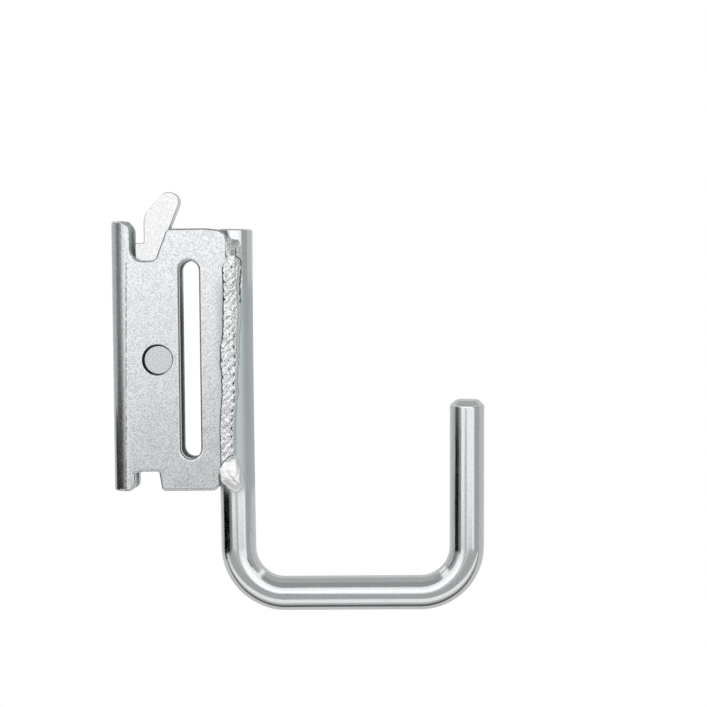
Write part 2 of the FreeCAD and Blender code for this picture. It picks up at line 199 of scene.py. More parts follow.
class HookFinishes(bpy.types.PropertyGroup):
    sheet: colour("Sheet", "Zinc plating on the pressed sheet", "#f2f3f4")
    sheet_dark: colour("Sheet, dull", "Duller crystals on the sheet", "#bdc2c7")
    # Darker, rougher strip of the sheet beside the weld
    sheet_by_weld: colour("Sheet, by the weld", "Darker, rougher sheet beside the weld", "#c6ccd0")
    crease: colour("Crease", "Thin plating in the dots along the fold", "#3c4148")
    # Sheared walls: partly their own dull zinc, partly painted shade; on the inside faces, painted
    # shade
    sheared_wall_and_inside_shade: colour("Sheared wall", "Dull zinc on sheared walls, painted shade on the inside", "#c0caca")
    sheared_dark: colour("Sheared wall, dull", "Torn metal on sheared walls", "#98a3a3")
    # Painted shade in the middle between the cheeks; also the duller specks of the weld groove's
    # painted shade
    inner: colour("Painted shade inside", "Painted shade between the cheeks and in the weld's groove", "#8b9594")
    # Painted shade: nearly black, on the dimples' walls and in the weld's groove and pits
    hollow_shade: colour("Painted shade in hollows", "Nearly black painted shade on the dimples' walls and in the weld's groove", "#1c2022")
    hollow_shade_dark: colour("Painted shade in hollows, dull", "Darkest specks of that painted shade", "#0f1214")
    punched: colour("Punched floor", "Flat floor that the punch presses", "#e4e7e9")
    punched_dark: colour("Punched floor, dull", "Duller crystals on that floor", "#bac0c4")
    rod: colour("Rod", "Zinc plating on the drawn bar", "#f0f2f3")
    rod_dark: colour("Rod, dull", "Duller streaks on the bar", "#dadee0")
    # Darker, rougher part of the bar beside the weld
    rod_by_weld: colour("Rod, by the weld", "Darker, rougher bar beside the weld", "#d3dcdf")
    weld: colour("Weld", "Zinc plating on the weld metal", "#f6f7f7")
    weld_dark: colour("Weld, dull", "Duller parts of the weld", "#d3d7da")
    blob: colour("Second run", "Whitest plating, on the second run of weld", "#fefefe")
    lever: colour("Lever", "Zinc plating on the stamped lever", "#f6f6f6")
    lever_dark: colour("Lever, dull", "Duller crystals on the lever", "#dadcde")
    spring: colour("Spring", "Drawn spring wire", "#a3a7aa")
    floor: colour("Floor", "Pale floor", "#f0f0ef")


# ---- Small tools for modelling and for materials


def linear(code):
    """Linear colour with alpha from an sRGB hex value."""
    parts = [int(code[i : i + 2], 16) / 255 for i in (1, 3, 5)]
    parts = [c / 12.92 if c <= 0.04045 else ((c + 0.055) / 1.055) ** 2.4 for c in parts]
    return (*parts, 1.0)


def add_node(tree, kind, inputs=None, **settings):
    """Adds a shader node with its settings, and values or links for its input sockets.

    A node among the inputs stands for its own first output."""
    node = tree.nodes.new(kind)
    for name, setting in settings.items():
        setattr(node, name, setting)
    for socket, value in (inputs or {}).items():
        if isinstance(value, bpy.types.Node):
            value = next(output for output in value.outputs if output.enabled)
        if isinstance(value, bpy.types.NodeSocket):
            tree.links.new(value, node.inputs[socket])
        else:
            node.inputs[socket].default_value = value
    return node


def begin(name, add, **settings):
    """Adds a primitive with nothing else selected, names it and opens it in edit mode."""
    if bpy.context.object and bpy.context.object.mode != "OBJECT":
        bpy.ops.object.mode_set(mode="OBJECT")
    bpy.ops.object.select_all(action="DESELECT")
    add(**settings)
    piece = bpy.context.object
    piece.name = piece.data.name = name
    bpy.ops.object.transform_apply(location=True, rotation=True, scale=True)
    bpy.ops.object.mode_set(mode="EDIT")
    return piece


def finish_piece(piece, body, node, materials, smooth_angle=35):
    """Closes a piece: normals, smooth shading, materials, and its place in the frame."""
    bpy.ops.mesh.select_all(action="SELECT")
    bpy.ops.mesh.remove_doubles(threshold=2e-6)
    bpy.ops.mesh.dissolve_degenerate(threshold=1e-7)
    bpy.ops.mesh.select_all(action="SELECT")
    bpy.ops.mesh.normals_make_consistent(inside=False)
    if bmesh.from_edit_mesh(piece.data).calc_volume(signed=True) < 0:
        bpy.ops.mesh.flip_normals()
    bpy.ops.object.mode_set(mode="OBJECT")
    bpy.ops.object.shade_smooth_by_angle(angle=math.radians(smooth_angle))
    # Flat faces keep their own normals, so that their sheen is even up to the rims.
    bpy.ops.object.modifier_add(type="WEIGHTED_NORMAL")
    even = piece.modifiers[-1]
    even.keep_sharp = True
    bpy.ops.object.modifier_apply(modifier=even.name)
    slots = piece.data.materials
    for i, material in enumerate(materials):
        if i == len(slots):
            slots.append(None)
        slots[i] = material
    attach(piece, body)
    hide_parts(node)


def pick(kind, test):
    """In edit mode, selects only the edges or faces that pass a test."""
    bpy.ops.mesh.select_mode(type=kind)
    bpy.ops.mesh.select_all(action="DESELECT")
    mesh = bmesh.from_edit_mesh(bpy.context.edit_object.data)
    for part in mesh.edges if kind == "EDGE" else mesh.faces:
        if test(part):
            part.select_set(True)
    bmesh.update_edit_mesh(bpy.context.edit_object.data)


def pick_open(test=lambda point: True):
    """In edit mode, selects only the open edges whose two ends pass a test."""
    pick("EDGE", lambda edge: len(edge.link_faces) < 2 and all(test(v.co) for v in edge.verts))


def paint(index, test):
    """In edit mode, gives the faces that pass a test the material with this index."""
    piece = bpy.context.edit_object
    while len(piece.data.materials) <= index:
        piece.data.materials.append(None)
    pick("FACE", test)
    piece.active_material_index = index
    bpy.ops.object.material_slot_assign()


def move_points(move):
    """In edit mode, puts every vertex where a function of its place says."""
    mesh = bmesh.from_edit_mesh(bpy.context.edit_object.data)
    for vertex in mesh.verts:
        vertex.co = move(vertex.co)
    bmesh.update_edit_mesh(bpy.context.edit_object.data)


def extrude(step, times=1):
    """In edit mode, extrudes what is selected by a step, as many times as asked."""
    for _ in range(times):
        bpy.ops.mesh.extrude_region_move(TRANSFORM_OT_translate={"value": step})


def taper(place, radius, steps):
    """Extrudes the selected end, from its place and radius, through (place, radius) steps."""
    for next_place, next_radius in steps:
        extrude(next_place - place)
        scale = next_radius / radius
        bpy.ops.transform.resize(value=(scale, scale, 1), center_override=next_place)
        place, radius = next_place, next_radius


def draw_loop(points, y):
    """In edit mode, adds a closed loop of edges through XZ points, at this Y."""
    bpy.ops.mesh.primitive_circle_add(vertices=len(points), radius=MM)
    mesh = bmesh.from_edit_mesh(bpy.context.edit_object.data)
    mesh.verts.ensure_lookup_table()
    for vertex, (x, z) in zip(mesh.verts[-len(points):], points):
        vertex.co = (x, y, z)
    bmesh.update_edit_mesh(bpy.context.edit_object.data)


def rounded(corners, step=math.radians(7)):
    """XZ points of a closed outline through corners (x, z, radius), each rounded."""
    points = []
    for i, (x, z, radius) in enumerate(corners):
        here = Vector((x, z))
        back, ahead = (
            (Vector(corners[j % len(corners)][:2]) - here).normalized() for j in (i - 1, i + 1)
        )
        half = back.angle(ahead) / 2
        if radius <= 0 or half > math.pi / 2 - 1e-3:
            points.append((x, z))
            continue
        centre = here + (back + ahead).normalized() * (radius / math.sin(half))
        first = here + back * (radius / math.tan(half)) - centre
        turn = math.pi - 2 * half
        if back.x * ahead.y - back.y * ahead.x > 0:
            turn = -turn
        count = max(2, math.ceil(abs(turn) / step))
        for k in range(count + 1):
            c, s = math.cos(turn * k / count), math.sin(turn * k / count)
            points.append(
                (centre.x + first.x * c - first.y * s, centre.y + first.x * s + first.y * c)
            )
    # Arcs that meet share a point, which is kept once
    return [p for i, p in enumerate(points) if math.dist(p, points[i - 1]) > NEAR]


def circle_points(x, z, radius, count=56):
    """XZ points of a circle."""
    angles = (2 * math.pi * i / count for i in range(count))
    return [(x + radius * math.cos(angle), z + radius * math.sin(angle)) for angle in angles]


def round_rim(facing, rim, steps):
    """Rounds the edges round a flat face that looks along Y, and leaves it selected."""
    pick("FACE", lambda face: face.normal.y * facing > 0.99)
    for k in range(steps):
        low, high = (math.pi / 2 * j / steps for j in (k, k + 1))
        bpy.ops.mesh.inset(thickness=rim * (math.cos(low) - math.cos(high)), use_even_offset=True)
        bpy.ops.transform.translate(value=(0, facing * rim * (math.sin(high) - math.sin(low)), 0))
    # A narrow flat strip keeps the flat face's shading flat up to the rim.
    bpy.ops.mesh.inset(thickness=rim * 0.15, use_even_offset=True)


def punched_plate(name, loops, front, back, front_rim, back_rim, circles=()):
    """Flat plate between two Y levels, with rounded rims and closed loops as its outlines.

    The circles are open rings, at the front and at the back, left for dimples and bosses."""
    start = back - back_rim
    piece = begin(name, bpy.ops.mesh.primitive_circle_add, vertices=len(loops[0]), radius=MM)
    bpy.ops.mesh.delete(type="VERT")
    for loop in loops:
        draw_loop(loop, start)
    bpy.ops.mesh.select_all(action="SELECT")
    bpy.ops.mesh.fill(use_beauty=True)
    extrude((0, front + front_rim - start, 0))
    bpy.ops.mesh.select_all(action="SELECT")
    bpy.ops.mesh.normals_make_consistent(inside=False)
    for facing, rim, level, steps in ((-1, front_rim, front, 5), (1, back_rim, back, 2)):
        round_rim(facing, rim, steps)
        rings = [ring for side, *ring in circles if side == facing]
        if rings:
            bpy.ops.mesh.delete(type="FACE")
            for x, z, radius in rings:
                draw_loop(circle_points(x, z, radius), level)
            pick_open(lambda point: abs(point.y - level) < NEAR)
            bpy.ops.mesh.fill(use_beauty=True)
    return piece


def turn_out(x, z, level, radius, profile, lean=(0.0, 0.0)):
    """Carries an open ring of edges on through (radius, y, share of lean) steps, and closes it."""
    pick_open(
        lambda point: abs(point.y - level) < NEAR
        and abs(math.hypot(point.x - x, point.z - z) - radius) < NEAR
    )
    share = 0
    for next_radius, next_level, next_share in profile:
        step = (lean[0] * (next_share - share), next_level - level, lean[1] * (next_share - share))
        bpy.ops.mesh.extrude_edges_move(TRANSFORM_OT_translate={"value": step})
        scale = next_radius / radius
        middle = (x + lean[0] * next_share, next_level, z + lean[1] * next_share)
        bpy.ops.transform.resize(value=(scale, 1, scale), center_override=middle)
        radius, level, share = next_radius, next_level, next_share
    bpy.ops.mesh.edge_face_add()


def along(pairs, z):
    """Value at z of a line through (z, value) pairs."""
    if z <= pairs[0][0]:
        return pairs[0][1]
    for (z0, v0), (z1, v1) in zip(pairs, pairs[1:]):
        if z <= z1:
            return v0 + (v1 - v0) * (z - z0) / (z1 - z0)
    return pairs[-1][1]


def ease(value, low, high):
    """0 below low, 1 above high, smooth between."""
    share = max(0.0, min(1.0, (value - low) / (high - low)))
    return share * share * (3 - 2 * share)


def ridge(distance, width):
    """1 on a line, falling away smoothly beside it."""
    return math.exp(-((distance / width) ** 2))


def wave(x, y, z):
    """Smooth noise from about -1 to 1."""
    return noise.noise(Vector((x, y, z)))


# ---- Materials


def zinc_material(
    name, bright, dull, roughness, grain=0.35 * MM, relief=0.014 * MM,
    metal=1.0, streaks=None, crease=None, dulled=None,
):
    """Bright zinc electroplating: pale bluish metal whose crystals catch the light as fine specks.

    grain is the crystals' size and relief their height. streaks names a UV map whose V runs along
    a drawn bar. crease is the dotted line that the folding leaves: its colour, its X, its lean and
    its top Z. dulled is a darker, rougher zone: its colour, low Z, high Z, the X where it is full
    and the X where it ends. Beside the weld it darkens the sheet and the bar; between the cheeks
    it is painted shade."""
    material = bpy.data.materials.new(name)
    material.use_nodes = True
    tree = material.node_tree
    tree.nodes.clear()
    place = add_node(tree, "ShaderNodeTexCoord").outputs["Object"]
    parts = add_node(tree, "ShaderNodeSeparateXYZ", {"Vector": place}).outputs
    surface_place = add_node(tree, "ShaderNodeUVMap", uv_map=streaks) if streaks else place
    speck, cloud = (
        add_node(tree, "ShaderNodeTexNoise", {
            "Vector": surface_place, "Scale": 1 / spot, "Detail": detail, "Roughness": 0.6,
        })
        for spot, detail in ((grain, 2.0), (4 * MM, 4.0))
    )
    # Specks of the brighter crystals, with wide faint clouds over them
    share = add_node(tree, "ShaderNodeMapRange", {
        "Value": speck, "From Min": 0.32, "From Max": 0.62, "To Min": -0.05, "To Max": 0.8,
    })
    share = add_node(
        tree, "ShaderNodeMath", {0: cloud, 1: 0.4, 2: share},
        operation="MULTIPLY_ADD", use_clamp=True,
    )
    shade = add_node(
        tree, "ShaderNodeMix", {"Factor": share, "A": linear(dull), "B": linear(bright)},
        data_type="RGBA",
    )
    rough = add_node(tree, "ShaderNodeMapRange", {
        "Value": cloud, "From Min": 0.3, "From Max": 0.7,
        "To Min": roughness - 0.03, "To Max": roughness + 0.03,
    })
    height = speck
    if streaks:
        # Drawing marks run along the bar: the pattern is stretched along the UV map's V.
        longer = add_node(
            tree, "ShaderNodeMapping", {"Vector": surface_place, "Scale": (1.0, 0.03, 1.0)}
        )
        marks = add_node(
            tree, "ShaderNodeTexNoise", {"Vector": longer, "Scale": 1 / (0.3 * MM), "Detail": 2.0}
        )
        height = add_node(
            tree, "ShaderNodeMath", {0: marks, 1: 0.8, 2: speck}, operation="MULTIPLY_ADD"
        )
    bump = add_node(tree, "ShaderNodeBump", {"Strength": 1.0, "Distance": relief, "Height": height})

    # Zones of another colour: the colour, what it adds to the roughness, and the ramps whose
    # product is the zone. A ramp is its kind, value, low, high, and what it gives below and above.
    zones = []
    if crease:
        # Dots 0.3 mm wide and about 0.8 mm apart, where the plating is thin along the fold
        crease_colour, crease_x, lean, top_z = crease
        across = parts["Z"]
        for operation, others in (
            ("MULTIPLY_ADD", {1: -lean, 2: parts["X"]}),
            ("SUBTRACT", {1: crease_x}),
            ("ABSOLUTE", {}),
        ):
            across = add_node(tree, "ShaderNodeMath", {0: across, **others}, operation=operation)
        dots = add_node(
            tree, "ShaderNodeTexNoise", {"Vector": place, "Scale": 1 / (0.8 * MM), "Detail": 1.0}
        )
        zones.append((crease_colour, 0.0, (
            ("SMOOTHSTEP", across, 0.08 * MM, 0.3 * MM, 1.0, 0.0),
            ("LINEAR", parts["Z"], top_z - 2 * MM, top_z, 1.0, 0.0),
            ("LINEAR", dots, 0.38, 0.56, 0.15, 0.62),
        )))
    if dulled:
        # The edge of the dulled zone wanders a little
        dulled_colour, low_z, high_z, full_x, end_x = dulled
        wander = add_node(
            tree, "ShaderNodeTexNoise", {"Vector": place, "Scale": 1 / (5 * MM), "Detail": 3.0}
        )
        level = add_node(
            tree, "ShaderNodeMath", {0: wander, 1: 6 * MM, 2: parts["Z"]},
            operation="MULTIPLY_ADD",
        )
        zones.append((dulled_colour, 0.32, (
            ("SMOOTHSTEP", level, low_z, low_z + 6 * MM, 0.0, 1.0),
            ("SMOOTHSTEP", level, high_z, high_z + 8 * MM, 1.0, 0.0),
            ("SMOOTHSTEP", parts["X"], full_x, end_x, 1.0, 0.0),
        )))
    for zone_colour, rougher, ramps in zones:
        mask = 1.0
        for kind, value, low, high, below, above in ramps:
            ramp = add_node(tree, "ShaderNodeMapRange", {
                "Value": value, "From Min": low, "From Max": high, "To Min": below, "To Max": above,
            }, interpolation_type=kind)
            mask = add_node(tree, "ShaderNodeMath", {0: mask, 1: ramp}, operation="MULTIPLY")
        shade = add_node(
            tree, "ShaderNodeMix", {"Factor": mask, "A": shade, "B": linear(zone_colour)},
            data_type="RGBA",
        )
        rough = add_node(
            tree, "ShaderNodeMath", {0: mask, 1: rougher, 2: rough}, operation="MULTIPLY_ADD"
        )
    shader = add_node(tree, "ShaderNodeBsdfPrincipled", {
        "Base Color": shade, "Metallic": metal, "Roughness": rough, "Normal": bump,
    })
    if not metal:
        # The nearly black painted shade in hollows hardly shines
        shader.inputs["Specular IOR Level"].default_value = 0.15
    add_node(tree, "ShaderNodeOutputMaterial", {"Surface": shader})
    return material


# ---- Operators, one for each piece


class MakeHookFitting(bpy.types.Operator):
    """Folded sheet fitting, made as a flat blank and folded round the track's wall"""

    bl_idname = "utility_hook.fitting"
    bl_label = "Fitting"

    def execute(self, context):
        s = context.scene.hook_fitting
        finish = context.scene.hook_finishes
        ear_x, half_width = fitting_low.x, fitting_high.y
        top_z, foot_z = fitting_high.z, fitting_low.z
        turn_x = ear_x + s.outer_radius
        flat = half_width - s.outer_radius
        bend = s.outer_radius * math.pi / 2
        shoulder_z = s.upper_floor_z + s.shoulder_rise

        def unrolled(x):
            """Distance along the blank from the fold's middle, of a place X on the outer face."""
            if x >= turn_x:
                return flat + bend + x - turn_x
            return flat + s.outer_radius * math.acos(min(1.0, (turn_x - x) / s.outer_radius))

        upper_front = s.upper_floor - s.ear_setback
        # The cheeks' edges step back between these heights, where the weld ends
        step_low, step_high = -1 * MM, 2 * MM
        half = [
            (unrolled(x), z)
            for x, z in rounded([
                (ear_x, foot_z, 0),
                (ear_x, top_z, 0),
                (-s.ear_setback, top_z, s.ear_top_radius),
                (-s.ear_setback, s.upper_floor_z, s.upper_rear_radius),
                (upper_front, s.upper_floor_z, s.upper_front_radius),
                (upper_front + s.shoulder_rise * math.tan(s.upper_slope), shoulder_z,
                 s.shoulder_radius),
                (s.edge_top_x - s.shoulder_droop_run, shoulder_z, 9 * MM),
                (s.edge_top_x, shoulder_z - s.shoulder_droop, s.shoulder_end_radius),
                (s.edge_mid_x, s.slot_middle_z, 0),
                (s.edge_low_x, step_high, 0),
                (s.edge_foot_x, step_low, 0),
                (s.edge_foot_x, foot_z, s.foot_end_radius),
                (s.lower_ceiling - foot_z * math.tan(s.lower_slope), foot_z, s.foot_rear_radius),
                (s.lower_ceiling, 0, 0.7 * MM),
                (s.lower_lead, 0, 0.6 * MM),
                (0, -s.lower_lead_drop, 0.35 * MM),
                (0, foot_z, s.ear_foot_radius),
            ])
            if x > ear_x + NEAR
        ]
        loops = [half + [(-x, z) for x, z in reversed(half)]]
        slot_half, slot_radius = s.slot_length / 2, s.slot_width / 2
        for sign, slot_x in ((1, s.slot_x), (-1, s.slot_x - s.rear_slot_shift)):
            ends = rounded([
                (slot_x + x * slot_radius, s.slot_middle_z + z * slot_half, slot_radius)
                for x, z in ((1, 1), (-1, 1), (-1, -1), (1, -1))
            ])
            loops.append([(sign * unrolled(x), z) for x, z in ends])
        pivot, pivot_z = unrolled(s.pivot_x), s.slot_middle_z
        rings = [
            (facing, sign * pivot, pivot_z, radius)
            for sign in (1, -1)
            for facing, radius in ((-1, s.mouth_radius + 0.12 * MM), (1, s.boss_radius))
        ]
        piece = punched_plate("folded_fitting", loops, 0, s.sheet, s.rim, s.burr_rim, rings)
        # The punch bites in sharply beside the fold and rolls the edge at the other side
        lip = s.mouth_radius - s.wall_radius
        dimple = [
            (s.mouth_radius, 0.03 * MM, 0),
            (s.mouth_radius - 0.35 * lip, 0.06 * MM, 0.35),
            (s.mouth_radius - 0.7 * lip, 0.14 * MM, 0.7),
            (s.wall_radius, 0.3 * MM, 1),
            (s.floor_radius + 0.04 * MM, s.dimple_depth - 0.2 * MM, 0),
            (s.floor_radius, s.dimple_depth - 0.05 * MM, 0),
            (s.floor_radius - 0.12 * MM, s.dimple_depth, 0),
        ]
        top = s.sheet + s.boss_height
        boss = [
            (s.boss_radius, top - 0.25 * MM, 0),
            (s.boss_radius - 0.07 * MM, top - 0.07 * MM, 0),
            (s.boss_radius - 0.25 * MM, top, 0),
        ]
        for facing, x, z, radius in rings:
            if facing < 0:
                lean = (math.copysign(s.wall_shift, -x), 0.5 * s.wall_shift)
                turn_out(x, z, 0, radius, dimple, lean)
            else:
                turn_out(x, z, s.sheet, radius, boss)

        def from_pivot(face):
            x, depth, z = face.calc_center_median()
            return math.hypot(abs(x) - pivot, z - pivot_z), depth

        def inside(face):
            # Sheared walls are duller than the outer faces; on the inside the darker grey is painted
            # shade between the cheeks
            return abs(face.normal.y) < 0.35 or face.normal.y > 0.9

        def slot_wall(face):
            # The slot's wall in the front cheek keeps the outer faces' bright material, left out of
            # the walls' partly painted shade
            x, depth, z = face.calc_center_median()
            beside = abs(x - unrolled(s.slot_x)) < slot_radius + 0.2 * MM
            return beside and abs(z - s.slot_middle_z) < slot_half and depth < s.sheet

        def ear_wall(face):
            # So do the walls of the lower ears, at the fitting's bare end
            x, _, z = face.calc_center_median()
            return abs(abs(x) - unrolled(0)) < 2 * MM and z < -s.lower_lead_drop

        # The dimples' walls, which take the nearly black painted shade
        def shaded_dimple_wall(face):
            distance, depth = from_pivot(face)
            return distance < s.mouth_radius and 0.31 * MM < depth < s.dimple_depth - 0.02 * MM

        def pressed(face):
            distance, depth = from_pivot(face)
            return distance < s.floor_radius and abs(depth - s.dimple_depth) < 0.01 * MM

        for index, test in ((1, inside), (0, slot_wall), (0, ear_wall), (2, shaded_dimple_wall), (3, pressed)):
            paint(index, test)
        # Cuts across the two bends, so that they come out round
        cuts = 12
        for sign in (1, -1):
            for k in range(cuts + 1):
                bpy.ops.mesh.select_all(action="SELECT")
                bpy.ops.mesh.bisect(
                    plane_co=(sign * (flat + bend * k / cuts), 0, 0), plane_no=(1, 0, 0)
                )

        def folded(point):
            """Place on the folded sheet of a point on the blank."""
            out, depth, z = point
            sign = -1 if out >= 0 else 1
            out = abs(out)
            if out <= flat:
                return (ear_x + depth, sign * out, z)
            if out > flat + bend:
                return (turn_x + out - flat - bend, sign * (half_width - depth), z)
            angle, radius = (out - flat) / s.outer_radius, s.outer_radius - depth
            return (
                turn_x - radius * math.cos(angle), sign * (flat + radius * math.sin(angle)), z
            )

        # The bend tool needs a window, so the blank is folded point by point.
        move_points(folded)
        # Pressed sheet, barrel plated: an even sheen with a fine speckle
        outside = zinc_material(
            "zinc_plated_pressed_sheet", finish.sheet, finish.sheet_dark, 0.21,
            crease=(finish.crease, s.crease_x, math.tan(s.crease_lean), s.upper_floor_z + 1 * MM),
            dulled=(finish.sheet_by_weld, -6 * MM, 46 * MM, s.edge_top_x, s.edge_top_x - 4 * MM),
        )
        # Sheared walls, dull and pale grey, partly their own dull zinc and partly painted shade; the
        # inside's grey, darker still in its middle, is painted shade between the cheeks
        sheared_wall_and_inside_shade = zinc_material(
            "sheared_wall_and_painted_inside_shade", finish.sheared_wall_and_inside_shade, finish.sheared_dark, 0.42,
            0.3 * MM, 0.03 * MM, dulled=(finish.inner, 3 * MM, 44 * MM, 19 * MM, 20 * MM),
        )
        # Painted shade on the dimples' walls: nearly black
        hollow_shade = zinc_material(
            "painted_shade_dimple_wall", finish.hollow_shade, finish.hollow_shade_dark, 0.7,
            0.3 * MM, 0.03 * MM, metal=0.0,
        )
        # The punch's flat end leaves a greyer, more even floor
        punched = zinc_material(
            "zinc_plated_punched_floor", finish.punched, finish.punched_dark, 0.26
        )
        finish_piece(
            piece, "fitting", "fitting_body",
            [outside, sheared_wall_and_inside_shade, hollow_shade, punched],
        )
        return {"FINISHED"}


class MakeHookRod(bpy.types.Operator):
    """Round bar bent into a J, with a small chamfer above and a rough one at the tip"""

    bl_idname = "utility_hook.rod"
    bl_label = "Rod"

    def execute(self, context):
        s = context.scene.hook_rod
        finish = context.scene.hook_finishes
        turn = math.pi / 2 - s.lean
        tangent = s.bend_radius * math.tan(turn / 2)
        corner = Vector((s.free_arm_x - s.bend_radius * math.tan(s.lean), 0, s.run_z))
        run_end = corner.x - tangent
        # Centres of the two bends, and the free arm
        first = Vector((s.arm_x + s.bend_radius, 0, s.run_z + s.bend_radius))
        second = Vector((run_end, 0, s.run_z + s.bend_radius))
        up = Vector((math.cos(turn), 0, math.sin(turn)))
        arm_start = corner + up * tangent
        arm_end = corner + up * (s.arm_rise / math.cos(s.lean))
        arm = arm_end - arm_start
        arm_body = arm * (1 - (s.tip_chamfer + 0.4 * MM) / arm.length)

        # Small chamfer, with its edges eased
        end_radius = s.radius - s.top_chamfer
        top = Vector((s.arm_x, 0, s.top_z))
        piece = begin(
            "bent_rod", bpy.ops.mesh.primitive_circle_add, vertices=72, radius=end_radius,
            fill_type="NGON", location=top,
        )
        bpy.ops.mesh.select_all(action="SELECT")
        taper(top, end_radius, [
            (top - Vector((0, 0, s.top_chamfer * share)),
             s.radius - s.top_chamfer * (1 - share) ** 1.4)
            for share in (0.12, 0.3, 0.7, 1.0)
        ])
        # Welded arm, first bend, bottom run, second bend, free arm
        extrude((0, 0, (first.z - s.top_z + s.top_chamfer) / 8), 8)
        for centre, angle, straight in (
            (first, math.pi / 2, Vector((run_end - first.x, 0, 0))), (second, turn, arm_body)
        ):
            bpy.ops.mesh.spin(steps=28, dupli=False, angle=angle, center=centre, axis=(0, 1, 0))
            extrude(straight / 4, 4)
        # Rough chamfer at the tip, ground by hand: how far along it is, and how much is ground off
        tip = arm_start + arm_body
        taper(tip, s.radius, [
            (tip + (arm - arm_body) * share, s.radius - ground * MM)
            for share, ground in (
                (0.14, 0.0), (0.26, 0.07), (0.36, 0.2), (0.6, 0.7), (0.88, 1.22), (0.95, 1.36),
                (1.0, 1.5),
            )
        ])

        def drawn(point):
            """The tip ground unevenly, and the welded arm drawn over by the weld's heat."""
            point = point.copy()
            off = point - arm_end
            height = off.dot(up) + s.tip_chamfer
            if off.length < 4 * s.radius and height > 0.05 * MM and point.x > s.free_arm_x / 2:
                # The end face is tilted, and a little uneven round its rim
                share = min(1.0, height / s.tip_chamfer)
                around = math.atan2(off.y, off.x)
                rim = Vector((math.cos(around), math.sin(around), 3.1)) * 1.7
                uneven = 0.16 * MM * noise.noise(rim)
                point += up * share * (off.y * 0.05 + off.x * 0.023 - 0.02 * MM + uneven)
                point.x += share * (1 - share) * 0.4 * MM * math.cos(3 * around + 1)
            # The welded arm is bowed and oval, its end face tilted
            x, _, z = point
            share = max(0.0, min(1.0, (first.x - x) / (s.bend_radius - s.radius)))
            lift = (z - s.bow_z) / (s.top_z - s.bow_z)
            point.x += share * (s.bow * lift * lift + s.oval * (x - s.arm_x) / s.radius)
            if x < first.x and z > s.top_z - s.top_chamfer - 0.05 * MM:
                point.z += 0.09 * MM - 0.03 * (x - s.arm_x)
            return point

        move_points(drawn)

        bpy.ops.object.mode_set(mode="OBJECT")
        # UV map: U round the bar and V along it, both in metres, for the drawing marks
        layer = piece.data.uv_layers.new(name="along_bar")
        straight = s.top_z - first.z
        bend_start = straight + s.bend_radius * math.pi / 2
        run_length = run_end - first.x

        def unrolled(point):
            """Angle round the bar, and distance along it from the welded end."""
            if point.x < first.x and point.z >= first.z:
                return math.atan2(point.y, point.x - s.arm_x), s.top_z - point.z
            if first.x <= point.x <= run_end:
                return math.atan2(point.y, point.z - s.run_z), bend_start + point.x - first.x
            welded = point.x < first.x
            out = first - point if welded else point - second
            angle = math.atan2(out.z, out.x) if welded else math.atan2(out.x, -out.z)
            start = straight if welded else bend_start + run_length
            if welded or angle < turn:
                around = math.atan2(point.y, s.bend_radius - math.hypot(out.x, out.z))
                return around, start + s.bend_radius * angle
            off = point - arm_start
            side = off.dot(Vector((-up.z, 0, up.x)))
            return math.atan2(point.y, side), start + s.bend_radius * turn + off.dot(up)

        for polygon in piece.data.polygons:
            middle = unrolled(polygon.center)[0]
            for i in polygon.loop_indices:
                around, run = unrolled(piece.data.vertices[piece.data.loops[i].vertex_index].co)
                around += 2 * math.pi * round((middle - around) / (2 * math.pi))
                layer.data[i].uv = (around * s.radius, run)
        bpy.ops.object.mode_set(mode="EDIT")
        # Cold drawn bar, smooth under the plating: the room shows in it as soft bands
        material = zinc_material(
            "zinc_plated_drawn_bar", finish.rod, finish.rod_dark, 0.13, 0.36 * MM, 0.005 * MM,
            streaks="along_bar", dulled=(finish.rod_by_weld, -5 * MM, 47 * MM, 33 * MM, 34 * MM),
        )
        finish_piece(piece, "fitting", "hook_rod", [material])
        return {"FINISHED"}


